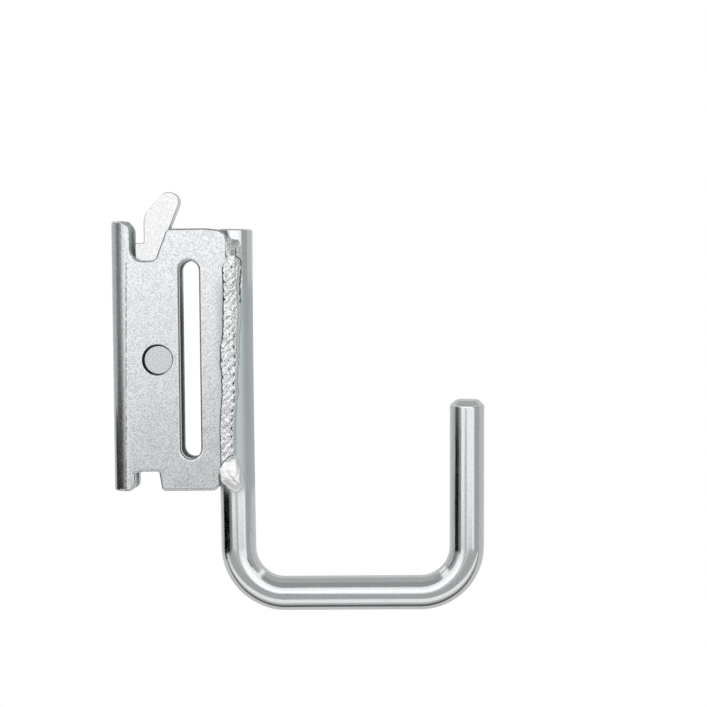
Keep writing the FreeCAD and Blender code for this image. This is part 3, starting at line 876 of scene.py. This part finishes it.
class MakeHookWelds(bpy.types.Operator):
    """Long rippled bead and second blob of weld on each side"""

    bl_idname = "utility_hook.welds"
    bl_label = "Welds"

    def execute(self, context):
        s = context.scene.hook_weld
        rod = context.scene.hook_rod
        finish = context.scene.hook_finishes
        # All of it is worked out in millimetres
        face, radius, axis_x = fitting_high.y / MM, rod.radius / MM, rod.arm_x / MM
        foot, head, blob_x, blob_z = (v / MM for v in (s.foot_z, s.head_z, s.blob_x, s.blob_z))
        pitch, depth, pit_depth = (
            v / MM for v in (s.ripple_pitch, s.ripple_depth, s.crease_depth)
        )
        # The bead as seen from the front: (height, X) of its sides and of its crease
        left = ((3, 22.4), (10, 22.25), (15, 22.5), (19, 22.9), (24, 22.95), (27, 22.6),
                (32, 22.7), (35, 23.3), (45, 23.55), (52, 23.4), (55, 22.9), (60, 23.3))
        right = ((4, 25.8), (13, 25.95), (18, 26.4), (20, 26.95), (23, 26.5), (29, 27.1),
                 (34, 27.15), (40, 27.75), (47, 27.5), (52, 27.95), (57, 27.8), (60, 27.3))
        crease = ((5, 25.0), (10, 24.85), (15, 25.2), (18, 25.8), (21, 25.5), (28, 26.05),
                  (33, 25.7), (40, 26.0), (47, 25.8), (53, 26.6))
        # Outline of the second blob about its middle: (angle, radius) from +X upwards
        blob = ((-180, 3.3), (-150, 3.5), (-120, 3.5), (-97, 4.6), (-79, 5.3), (-62, 4.8),
                (-32, 3.1), (0, 2.5), (44, 2.85), (63, 3.4), (84, 4.7), (100, 4.4), (115, 3.9),
                (145, 3.5), (180, 3.3))
        # The head: where it starts to close, and the corner of its right lobe
        cap_z, lobe_x, lobe_z = 57, 26.6, 54.9
        # Share of the bead's section that shows, and how far weld metal may stand proud
        shown, proud = 0.7, 0.62

        def bar_level(x):
            """How far the bar's surface stands out at X."""
            return math.sqrt(max(0.01, radius ** 2 - min(radius, abs(x - axis_x)) ** 2))

        def left_line(z):
            """Left edge of the bead at a height."""
            ragged = 0.1 * wave(z * 1.1, 0, 0) + 0.07 * wave(z * 2.6, 3, 0)
            return along(left, z) - 0.75 * (1 - ease(z, 51, 55)) + ragged

        def right_line(z):
            """Right edge of the bead at a height."""
            return along(right, z) + 0.14 * wave(z * 0.9, 7, 0) + 0.1 * wave(z * 2.3, 9, 0)

        def crease_line(z):
            """Line between the bead's two strands at a height."""
            return along(crease, z) + 0.16 * wave(z * 0.8, 5, 0)

        def dash(x, z):
            """1 in the pits between the strands, each a slanting dash, and 0 between them."""
            turns = (z - 0.9 * (x - crease_line(z)) + 0.5) / pitch
            return 0.5 + 0.5 * math.cos(2 * math.pi * turns + 2.0 * wave(z * 0.5, 1, 0))

        def lobe_line(x, z):
            """Distance from the crease under the head's right lobe."""
            if x > lobe_x:
                return abs((x - lobe_x) * 0.66 + (z - lobe_z) * 0.75)
            return abs(x - lobe_x)

        def under_blob(x, z):
            """How far a place lies inside the second blob's outline."""
            across, up = x - blob_x, z - blob_z
            return along(blob, math.degrees(math.atan2(up, across))) - math.hypot(across, up)

        def undercut(part):
            """Whether a face takes the painted shade: in the groove beside the bead, in a pit, in a
            stray patch or along the second blob's seam.
            """
            x, _, z = part.calc_center_median() / MM
            toe = right_line(z) - x
            if 43 < z < 54.2 and toe < 0.3 + 0.5 * wave(z * 0.8, 2, 19):
                return True
            if z > 52.5:
                under_lobe = lobe_line(x, z) < 0.14 and (x > lobe_x or z > lobe_z - 0.3)
                return z < cap_z and under_lobe
            if z < 4.5 and x < 25:
                # The seam where the second blob ends on the bead
                return z > 0.5 and -0.14 < under_blob(x, z) < 0.1
            if z < 3:
                return False
            groove_shade = 0.4 + 0.7 * wave(z * 0.9, 4, 17) + 0.2 * ease(z, 12, 30)
            in_pit = z < 34 and abs(x - crease_line(z)) < 0.13 and dash(x, z) > 0.78
            stray = wave(x * 1.9 + z * 0.5, z * 1.5 - x, 23) > 0.5 - 0.1 * ease(z, 40, 52)
            stray = stray and z > 7 and abs(x - 24.9) < 1.3
            return x - left_line(z) < groove_shade or in_pit or stray

        def bead_point(turn, share):
            """Point on the bead: turn goes round its section from 0 to 1, share along it."""
            z = foot + (head - foot) * share
            # Round head; the foot runs out under the second blob
            top = max(0.0, z - cap_z) / (head - cap_z)
            close = math.sqrt(max(0.0, 1 - top ** 3)) * math.sqrt(ease(z, foot - 0.5, foot + 2))
            middle = along(((50, 25.2), (56, 25.5)), z)
            x_left, x_right = (
                middle + (line(z) - middle) * max(0.04, close) for line in (left_line, right_line)
            )
            hidden = turn > shown
            u = 1 - (turn - shown) / (1 - shown) if hidden else turn / shown
            x = x_left + (x_right - x_left) * u
            if hidden:
                # Sunk in the cheek's edge and the bar
                y = min(face - 0.5, bar_level(x)) * (1 - u) + bar_level(x) * u
                return (x, -(y - 0.1 - 0.8 * math.sin(math.pi * u) * close), z)
            x_crease = crease_line(z)
            # The head is a smooth cap that falls away upwards; below it is rope
            plain = ease(z, 51.5, 54.5)
            rope = 1 - plain
            fall = 0.46 * max(0.0, z - lobe_z) * ease(x, 23.9, 25.5)
            fall = max(fall, 1.3 * (z - head + 0.9))
            # Left strand: a steep toe on the cheek, then nearly flat
            steep = 0.36 + 0.16 * wave(z * 0.5, 2, 8)
            toe = 1 - ridge(x - x_left, steep)
            y = face - 0.3 + 0.72 * toe - 0.1 * max(0.0, x - x_left - 0.8)
            # Right strand: a narrow rope that rolls over on to the bar
            over = max(0.0, min(1.0, (x - x_crease) / max(0.4, x_right - x_crease)))
            low = bar_level(x) - 0.12
            y = low + (y - low) * max(0.0, 1 - over ** 2.6) ** 0.6
            cap = low + max(0.05, face + 0.3 - fall - low) * (4 * u * (1 - u)) ** 0.3
            y = y * rope + cap * plain
            # Ripples lean forward on the wide strand and twist round the narrow one
            strength = rope * (0.8 + 0.7 * wave(z * 0.3, x * 0.5, 6))
            if x < x_crease:
                phase = (z - 1.1 * (x - x_left)) / pitch + 0.35 * wave(z * 0.45, x * 0.7, 3)
                fine = (z - 1.5 * x) / 0.85 + 0.4 * wave(z * 0.7, x * 0.9, 11)
            else:
                phase = (z - 1.3 * (x - x_crease) + 0.5) / pitch + 0.2 * wave(z * 0.5, x, 4)
                fine = (z - 1.4 * x) / 0.8 + 0.4 * wave(z * 0.7, x * 0.9, 12)
            height = depth * strength * (abs(math.sin(math.pi * phase)) ** 0.55 - 0.75)
            height += 0.02 * rope * math.sin(2 * math.pi * fine) * (1 + wave(x * 2, z * 0.8, 14))
            height -= pit_depth * rope * dash(x, z) ** 1.5 * ridge(x - x_crease, 0.24)
            pit = wave(x * 1.7 + z * 0.9, z * 1.6 - x, 21)
            height -= 0.14 * rope * ease(pit, 0.34, 0.55)
            # Lumps and grain
            height += 0.09 * wave(x * 0.8, z * 0.6, 1) + 0.03 * wave(x * 2.1, z * 1.8, 2)
            height += 0.012 * wave(x * 4.6, z * 4.2, 5)
            # Head: ripples that run up to its left side, and a crease under its right lobe
            swirl = (0.8 * x - 0.6 * z) / 0.85
            swirl = math.sin(2 * math.pi * swirl + 2 * wave(x * 0.5, z * 0.5, 8))
            height += 0.06 * plain * swirl * (1 - ease(x, 24.3, 25.2)) * (1 - ease(z, 58.0, 59.2))
            near = (1 - ease(z, 57.0, 58.5)) * ease(z, 52.0, 53.0)
            height -= 0.32 * near * ridge(lobe_line(x, z), 0.2)
            fade = min(1.0, 4 * u, 4 * (1 - u))
            y = min(face + proud, y + height * fade * close)
            if close < 1:
                y = low - 0.3 + (y - low + 0.3) * close ** 0.6
            # A spatter's ring on the cheek, beside the toe
            ring = math.hypot((x - 22.35) / 0.62, (z - 29.4) / 1.35)
            y += 0.12 * ridge(ring - 1, 0.3) * (1 - ease(x, 22.7, 23.2))
            # It dips under the second blob
            y -= 0.9 * ease(under_blob(x, z), -0.1, 0.35) * (1 - ease(z, 4.5, 6))
            return (x, -y, z)

        def blob_point(d):
            """Point on the second blob, from a direction."""
            angle = math.atan2(d.z, d.x)
            reach = along(blob, math.degrees(angle)) * math.hypot(d.x, d.z)
            reach *= 1 + 0.05 * wave(d.x * 2.2, d.z * 2.2, 1)
            x = blob_x + reach * math.cos(angle)
            z = blob_z + reach * math.sin(angle)
            low = bar_level(x) - 0.15
            on_cheek = (1 - ease(x, 22.6, 24.6)) * ease(z, -5.2, -4.2)
            low += (face - 0.25 - low) * on_cheek
            if d.y > 0:
                return (x, -(low - 1.2 * d.y), z)
            top = face + 0.2 - 0.07 * (z - blob_z) - 0.14 * max(0.0, x - 25.8)
            # Soft folds where the metal sagged as it set
            top += 0.09 * wave(x * 0.7, z * 0.55, 2) + 0.045 * wave(x * 1.6, z * 1.3, 6)
            fold = (x - 24.6) * 0.8 + (z + 1.5) * 0.6 + 0.5 * wave(x * 0.6, z * 0.6, 9)
            top -= 0.08 * ridge(fold, 0.28) * (1 - ease(z, -1.5, 0.5))
            fold = (x - 26.2) * 0.95 - (z + 1.0) * 0.3 + 0.4 * wave(x * 0.5, z * 0.7, 4)
            top -= 0.06 * ridge(fold, 0.3)
            top += 0.03 * wave(x * 3.4, z * 2.8, 3)
            return (x, -min(face + proud + 0.02, low + (top - low) * math.sqrt(-d.y)), z)

        # Bright plating over weld metal: glassy between the ripples
        material = zinc_material("zinc_plated_weld_metal", finish.weld, finish.weld_dark, 0.25)
        # The second run cooled slowly and is smoother
        smooth = zinc_material(
            "zinc_plated_smooth_weld", finish.blob, finish.weld, 0.36, relief=0.012 * MM
        )
        # Painted shade in the groove beside the bead and in its pits
        groove_shade = zinc_material(
            "painted_shade_weld_groove", finish.hollow_shade, finish.inner, 0.6, 0.4 * MM, 0.02 * MM, metal=0.0
        )

        def place_on(side, point_of):
            """Moves each point in edit mode, to the front for a side of 1 or the rear for -1."""
            def placed(point):
                x, y, z = point_of(point)
                return (x * MM, side * y * MM, z * MM)

            move_points(placed)

        for name, side in (("front", 1), ("rear", -1)):
            piece = begin(
                "rippled_bead_" + name, bpy.ops.mesh.primitive_grid_add,
                x_subdivisions=84, y_subdivisions=480, size=1,
            )
            # The grid's last column lies on its first, so the section closes
            place_on(side, lambda point: bead_point((point.x + 0.5) % 1, point.y + 0.5))
            bpy.ops.mesh.select_all(action="SELECT")
            bpy.ops.mesh.remove_doubles(threshold=5e-6)
            pick_open()
            bpy.ops.mesh.edge_face_add()
            # The groove, the pits and the seam take the painted shade
            paint(1, undercut)
            finish_piece(
                piece, "fitting", "weld_bead_" + name, [material, groove_shade],
                smooth_angle=70,
            )

            piece = begin(
                "second_blob_" + name, bpy.ops.mesh.primitive_ico_sphere_add,
                subdivisions=6, radius=1,
            )
            place_on(side, lambda point: blob_point(point.normalized()))
            finish_piece(
                piece, "fitting", "weld_blob_" + name, [smooth],
                smooth_angle=70,
            )
        return {"FINISHED"}


class MakeHookLever(bpy.types.Operator):
    """Stamped latch lever between the cheeks"""

    bl_idname = "utility_hook.lever"
    bl_label = "Latch lever"

    def execute(self, context):
        s = context.scene.hook_lever
        f = context.scene.hook_fitting
        finish = context.scene.hook_finishes
        floor_z, mid_z = f.upper_floor_z, f.slot_middle_z
        step_z = floor_z + s.step_rise
        neck_x = s.rear_x + s.step_length
        # The tongue's round end, with the corners where its two edges would meet its top
        end = Vector((s.tongue_x, floor_z + s.tongue_rise - s.tongue_radius))
        rear_normal = math.pi / 2 + s.rear_slope
        front_normal = s.front_slope - math.pi / 2
        spread = (rear_normal - front_normal) / 4
        far = s.tongue_radius / math.cos(spread)
        rear_tip, front_tip = (
            end + far * Vector((math.cos(angle), math.sin(angle)))
            for angle in (rear_normal - spread, front_normal + spread)
        )
        waist_z = floor_z + 3.1 * MM
        # Hub round the pivot: its edges in front, above and below it, and behind
        hub_front, hub_side, hub_rear = 11.1 * MM, 9.4 * MM, 1.22 * MM
        heel_x, tail_z, tail_front = lever_low.x, lever_low.z, 8.4 * MM
        heel_low, heel_high, heel_run = mid_z + 14.8 * MM, mid_z + 19.2 * MM, 2.8 * MM
        # Seat that is cut in the tail for the spring's end
        seat_x = s.tail_rear + 1.0 * MM
        seat_low, seat_high = (mid_z - s.spring_drop + side * 2.55 * MM for side in (-1, 1))
        outline = rounded([
            (s.rear_x, step_z, 0.45 * MM),
            (neck_x, step_z, 0.55 * MM),
            (neck_x, rear_tip.y - (rear_tip.x - neck_x) * math.tan(s.rear_slope), 5 * MM),
            (rear_tip.x, rear_tip.y, s.tongue_radius),
            (front_tip.x, front_tip.y, s.tongue_radius),
            (front_tip.x - (front_tip.y - waist_z) / math.tan(s.front_slope), waist_z, 6 * MM),
            (hub_side, mid_z + 10 * MM, 4 * MM),
            (hub_side, mid_z + 4.2 * MM, 2 * MM),
            (hub_front, mid_z + 1.6 * MM, 2 * MM),
            (hub_front, mid_z - 1.6 * MM, 2 * MM),
            (hub_side - 0.1 * MM, mid_z - 4.2 * MM, 2 * MM),
            (tail_front, tail_z, 1.5 * MM),
            (s.tail_rear, tail_z, 0.9 * MM),
            (s.tail_rear, seat_low, 0.5 * MM),
            (seat_x, seat_low, 0),
            (seat_x, seat_high, 0),
            (s.tail_rear, seat_high, 0.5 * MM),
            (s.tail_rear, mid_z - 3.6 * MM, 1 * MM),
            (hub_rear, mid_z - 1.5 * MM, 1 * MM),
            (hub_rear, mid_z + 1.5 * MM, 1 * MM),
            (s.tail_rear, mid_z + 3.6 * MM, 1 * MM),
            (s.tail_rear, heel_low - heel_run, 1 * MM),
            (heel_x, heel_low, 1 * MM),
            (heel_x, heel_high, 1 * MM),
            (s.rear_x, heel_high + heel_run, 1 * MM),
        ])
        hole = circle_points(f.pivot_x, mid_z, f.boss_radius + s.hole_gap)
        half = s.thickness / 2
        piece = punched_plate(
            "latch_lever_plate", [outline, hole], -half, half, s.rim, s.rim * 0.7
        )
        # Stamped from thick plate: a little rougher than the fitting, and very pale
        plate = zinc_material("zinc_plated_stamped_lever", finish.lever, finish.lever_dark, 0.24)
        finish_piece(piece, "latch", "latch_lever", [plate])
        return {"FINISHED"}


class MakeHookSpring(bpy.types.Operator):
    """Small coil spring between the fold and the lever's tail"""

    bl_idname = "utility_hook.spring"
    bl_label = "Latch spring"

    def execute(self, context):
        s = context.scene.hook_spring
        finish = context.scene.hook_finishes
        low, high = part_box("latch_spring")
        wire = 2 * s.wire_radius
        length = high.x - low.x - wire
        # Sides of the wire, and rings of them from end to end
        sides, rings = 12, round(28 * s.turns)
        piece = begin(
            "coil_spring", bpy.ops.mesh.primitive_circle_add, vertices=sides,
            radius=s.wire_radius, location=(0, s.coil_radius, 0), rotation=(0, 0, 0),
        )
        bpy.ops.mesh.select_all(action="SELECT")
        bpy.ops.object.mode_set(mode="OBJECT")
        screw = piece.modifiers.new("Coils", "SCREW")
        screw.axis = "X"
        screw.angle = 2 * math.pi * s.turns
        screw.screw_offset = length
        screw.steps = screw.render_steps = rings
        screw.use_merge_vertices = False
        bpy.ops.object.modifier_apply(modifier=screw.name)
        bpy.ops.object.mode_set(mode="EDIT")
        # Closed end turns: the pitch is one wire at each end, and even between
        mesh = bmesh.from_edit_mesh(piece.data)
        even = length / s.turns
        open_pitch = (length - 2 * wire) / (s.turns - 2)
        for i, vertex in enumerate(mesh.verts):
            ring = (i // sides) / rings * s.turns
            ends = min(ring, 1.0) + max(0.0, ring - (s.turns - 1))
            place = wire * ends + open_pitch * (ring - ends)
            vertex.co.x += place - even * ring + low.x + s.wire_radius
            vertex.co.z += (low.z + high.z) / 2
        bmesh.update_edit_mesh(piece.data)
        pick_open()
        bpy.ops.mesh.edge_face_add()
        # Oiled spring wire, greyer than the plating
        material = zinc_material(
            "drawn_spring_steel_wire", finish.spring, finish.rod_dark, 0.28, 0.15 * MM, 0.002 * MM
        )
        finish_piece(piece, "fitting", "latch_spring", [material])
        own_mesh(piece)
        return {"FINISHED"}


class MakeHookStage(bpy.types.Operator):
    """Pale floor, soft studio light and the camera"""

    bl_idname = "utility_hook.stage"
    bl_label = "Studio"

    def execute(self, context):
        s = context.scene.hook_stage
        finish = context.scene.hook_finishes
        bpy.ops.object.select_all(action="DESELECT")
        bpy.ops.object.camera_add(
            location=s.camera_place, rotation=(math.pi / 2 - s.pitch, 0, s.yaw)
        )
        camera = context.object
        camera.rotation_euler.rotate_axis("Z", s.roll)
        camera.data.lens = s.lens
        camera.data.sensor_width = 36.0
        camera.data.clip_start = 0.01
        context.scene.camera = camera

        bpy.ops.mesh.primitive_plane_add(size=s.floor_reach, location=(0.04, 0, s.floor_z))
        floor = context.object
        floor.name = "studio_floor"
        # Matt painted board
        board = bpy.data.materials.new("matt_white_board")
        board.use_nodes = True
        shader = board.node_tree.nodes["Principled BSDF"]
        shader.inputs["Base Color"].default_value = linear(finish.floor)
        shader.inputs["Roughness"].default_value = 0.9
        floor.data.materials.append(board)
        # The cards below stand for the table in the metal
        floor.visible_glossy = False

        # White room: the same white for the eye, for metal that mirrors it and for glass
        world = bpy.data.worlds.new("white_room")
        context.scene.world = world
        world.use_nodes = True
        tree = world.node_tree
        tree.nodes.clear()
        rays = add_node(tree, "ShaderNodeLightPath")
        white = rays.outputs["Is Camera Ray"]
        for kind in ("Is Glossy Ray", "Is Transmission Ray"):
            white = add_node(
                tree, "ShaderNodeMath", {0: white, 1: rays.outputs[kind]}, operation="MAXIMUM"
            )
        strength = add_node(
            tree, "ShaderNodeMapRange",
            {"Value": white, "To Min": s.room_level, "To Max": s.white_level},
        )
        pure_white = linear("#ffffff")
        lit = add_node(
            tree, "ShaderNodeBackground", {"Color": pure_white, "Strength": strength}
        )
        add_node(tree, "ShaderNodeOutputWorld", {"Surface": lit})
        world.cycles.sampling_method = "NONE"

        # Black and grey cards round the object, which only bright metal mirrors. Each is a
        # rectangle: facing axis, its place on that axis, its two ranges on the others in
        # metres, and how light it is.
        left, right, table = -0.56, 0.64, -0.14
        room, behind = (left, right), (0.0, 0.45)
        for name, axis, place, first, second, level in (
            ("black_card_left", "X", left, (-0.42, 0.08), (-0.6, -0.01), 0.0),
            ("dark_card_far_left", "X", left, (-0.8, -0.42), (-0.6, -0.01), 0.22),
            ("black_card_near", "X", -0.05, (0.002, 0.018), (-0.045, 0.013), 0.0),
            ("grey_card_left", "X", -0.565, (-0.36, 0.0), (-0.01, 0.4), 0.22),
            ("grey_card_far_left", "X", -0.565, (-0.56, -0.3), (-0.01, 0.4), 0.42),
            ("grey_card_left_behind", "X", -0.57, behind, (-0.6, 0.4), 0.5),
            ("dark_card_camera", "Y", -1.0, (-0.07, -0.005), (-0.07, 0.0), 0.05),
            ("grey_card_camera", "Y", -1.0, (-0.07, -0.005), (-0.2, -0.07), 0.35),
            ("grey_card_right", "X", right, (-0.47, 0.0), (-0.5, 0.5), 0.4),
            ("dark_card_right", "X", 0.63, (-0.58, -0.43), (0.06, 0.3), 0.16),
            ("grey_card_right_behind", "X", right, behind, (-0.5, 0.5), 0.55),
            ("grey_card_above", "Z", 0.62, (-0.5, 0.6), (-0.77, -0.13), 0.33),
            ("grey_card_above_behind", "Z", 0.62, (-0.5, 0.6), (-0.13, 0.45), 0.45),
            ("grey_card_front", "Y", -1.02, (-0.25, 0.11), (-0.2, -0.035), 0.72),
            ("soft_light_front", "Y", -1.04, (-0.5, 0.6), (0.0, 0.45), 1.2),
            ("grey_card_back", "Y", 0.45, room, (-0.6, 0.62), 0.62),
            ("table_front", "Z", table, room, (-1.02, -0.133), 0.42),
            ("table_middle", "Z", table, room, (-0.133, -0.05), 0.92),
            ("table_near", "Z", table, room, (-0.05, -0.016), 0.5),
            ("table_gap", "Z", table, room, (-0.016, 0.026), 0.12),
            ("table_behind", "Z", table, room, (0.026, 0.45), 0.6),
        ):
            middle = ((first[0] + first[1]) / 2, (second[0] + second[1]) / 2)
            spread = (first[1] - first[0], second[1] - second[0])
            turn, place, scale = {
                "X": ((0, math.pi / 2, 0), (place, *middle), (spread[1], spread[0], 1)),
                "Y": ((math.pi / 2, 0, 0), (middle[0], place, middle[1]), (*spread, 1)),
                "Z": ((0, 0, 0), (*middle, place), (*spread, 1)),
            }[axis]
            bpy.ops.mesh.primitive_plane_add(size=1, location=place, rotation=turn)
            card = context.object
            card.name = name
            card.scale = scale
            bpy.ops.object.transform_apply(location=True, rotation=True, scale=True)
            # Evenly lit card: it gives the metal a band of one grey
            board = bpy.data.materials.new(name)
            board.use_nodes = True
            tree = board.node_tree
            tree.nodes.clear()
            glow = add_node(
                tree, "ShaderNodeEmission", {"Color": pure_white, "Strength": level}
            )
            add_node(tree, "ShaderNodeOutputMaterial", {"Surface": glow})
            board.cycles.emission_sampling = "NONE"
            card.data.materials.append(board)
            for ray in ("camera", "diffuse", "transmission", "shadow"):
                setattr(card, "visible_" + ray, False)
        context.scene.view_settings.view_transform = "Standard"
        return {"FINISHED"}


class VIEW3D_PT_utility_hook(bpy.types.Panel):
    """Lists the steps that build the hook"""

    bl_label = "Utility Hook"
    bl_space_type = "VIEW_3D"
    bl_region_type = "UI"
    bl_category = "Utility Hook"

    def draw(self, context):
        for step in STEPS:
            self.layout.operator(step.bl_idname)


GROUPS = {
    "hook_fitting": HookFittingSizes,
    "hook_rod": HookRodSizes,
    "hook_weld": HookWeldSizes,
    "hook_lever": HookLeverSizes,
    "hook_spring": HookSpringSizes,
    "hook_stage": HookStageSettings,
    "hook_finishes": HookFinishes,
}
STEPS = (
    MakeHookFitting, MakeHookRod, MakeHookWelds, MakeHookLever, MakeHookSpring, MakeHookStage
)


def register():
    for group in (*GROUPS.values(), *STEPS, VIEW3D_PT_utility_hook):
        bpy.utils.register_class(group)
    for name, group in GROUPS.items():
        setattr(bpy.types.Scene, name, PointerProperty(type=group))


def unregister():
    for name in GROUPS:
        delattr(bpy.types.Scene, name)
    for group in (VIEW3D_PT_utility_hook, *reversed(STEPS), *GROUPS.values()):
        bpy.utils.unregister_class(group)


def main():
    register()
    bpy.ops.utility_hook.fitting()
    bpy.ops.utility_hook.rod()
    bpy.ops.utility_hook.welds()
    bpy.ops.utility_hook.lever()
    bpy.ops.utility_hook.spring()
    bpy.ops.utility_hook.stage()


if __name__ == "__main__":
    main()
